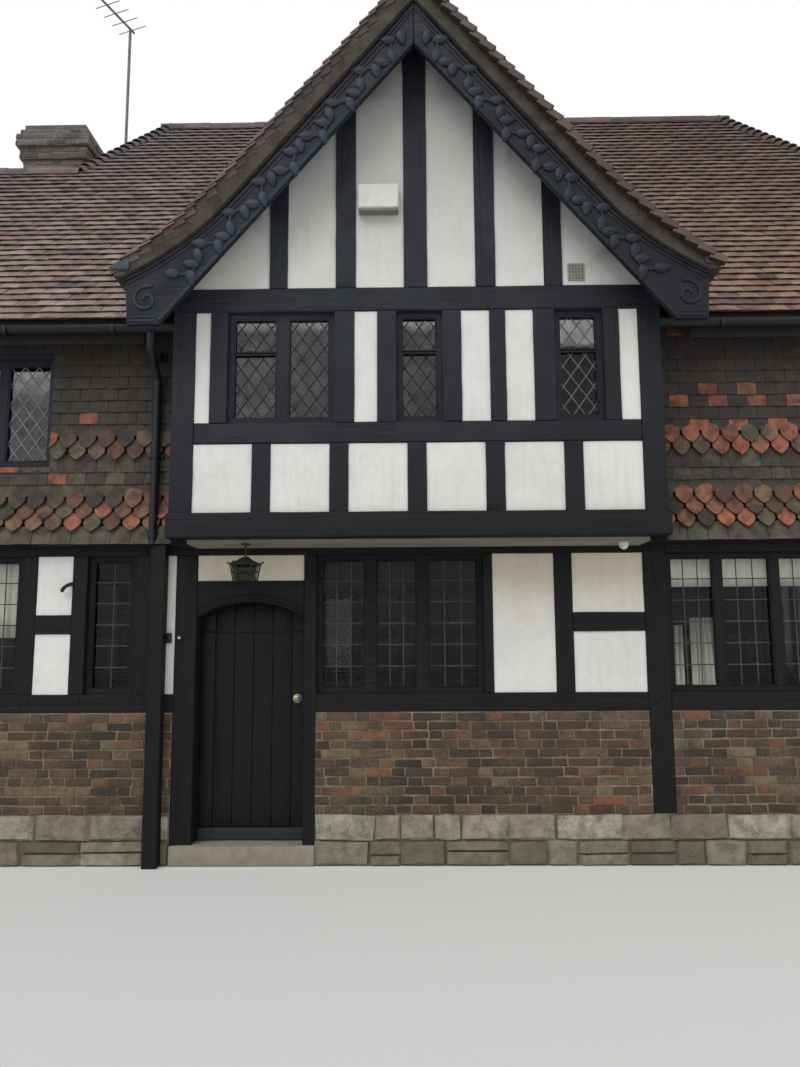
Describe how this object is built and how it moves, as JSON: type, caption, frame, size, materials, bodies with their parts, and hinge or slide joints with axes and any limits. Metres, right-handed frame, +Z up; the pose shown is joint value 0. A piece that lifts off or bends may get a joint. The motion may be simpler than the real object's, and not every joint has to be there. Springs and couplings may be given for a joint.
{
  "type": "half timbered house",
  "caption": "Half timbered house with a jettied gabled bay, stone and brick base, tile hung upper walls, steep tiled roofs and a planked front door that opens.",
  "frame": {"origin": "on the ground, below the main ridge and on the centre line of the gabled bay", "axes": "+X along the front from left to right as seen from outside, +Y from front to rear, +Z up; the front faces -Y"},
  "size_m": [10.55, 6.857, 9.61],
  "materials": {
    "stone": "rough",
    "floor_stone": "worn",
    "floor_boards": "matte",
    "soffit_paint": "matte",
    "brick": "rough",
    "black_timber": "satin",
    "door_paint": "gloss",
    "white_plaster": "matte",
    "inner_plaster": "matte",
    "hung_tiles": "rough",
    "roof_tiles": "rough",
    "leaded_glass": "clear",
    "black_iron": "satin",
    "brass": "worn",
    "weather_bar": "satin",
    "pale_plastic": "matte",
    "vent_clay": "matte",
    "aerial_metal": "dull"
  },
  "bodies": {
    "house": {"alarm_box": "pale_plastic", "bargeboard_left": "black_timber", "bargeboard_right": "black_timber", "bay_beams": "black_timber", "bay_cheeks": "black_timber", "bay_panels": "white_plaster", "bay_posts": "black_timber", "bay_roof_left": "roof_tiles", "bay_roof_right": "roof_tiles", "brick_dado": "brick", "chimney": "brick", "door_head": "black_timber", "door_hinge_pins": "black_iron", "door_posts": "black_timber", "door_step": "stone", "downpipe": "black_iron", "first_floor_main": "floor_boards", "first_floor_wing": "floor_boards", "ground_floor_main": "floor_stone", "ground_floor_wing": "floor_stone", "ground_panels": "white_plaster", "ground_posts": "black_timber", "ground_rails": "black_timber", "gutters": "black_iron", "half_hips": "roof_tiles", "hung_tiles_end_walls": "hung_tiles", "hung_tiles_long_walls": "hung_tiles", "jetty_floor": "soffit_paint", "lantern": "black_iron", "left_gable_wall": "inner_plaster", "pipe_boxing": "black_timber", "plinth_end_walls": "stone", "plinth_long_walls": "stone", "ridge_tiles": "roof_tiles", "roof_front_left": "roof_tiles", "roof_front_right": "roof_tiles", "roof_front_wing": "roof_tiles", "roof_rear_main": "roof_tiles", "roof_rear_wing": "roof_tiles", "security_camera": "pale_plastic", "tv_aerial": "aerial_metal", "upper_end_walls": "inner_plaster", "upper_long_walls": "inner_plaster", "wall_vent": "vent_clay", "window_frames": "black_timber", "window_glass": "leaded_glass"},
    "door": {"door_leaf": "door_paint", "door_knob": "brass", "door_weather_bar": "weather_bar", "door_hinge_straps": "black_iron"}
  },
  "joints": [
    {"name": "front_door", "type": "hinge", "parent": "house", "child": "door", "pos_m": [-1.825, -2.639, 0.45], "axis": [0, 0, 1], "range_deg": [0, 100]}
  ]
}
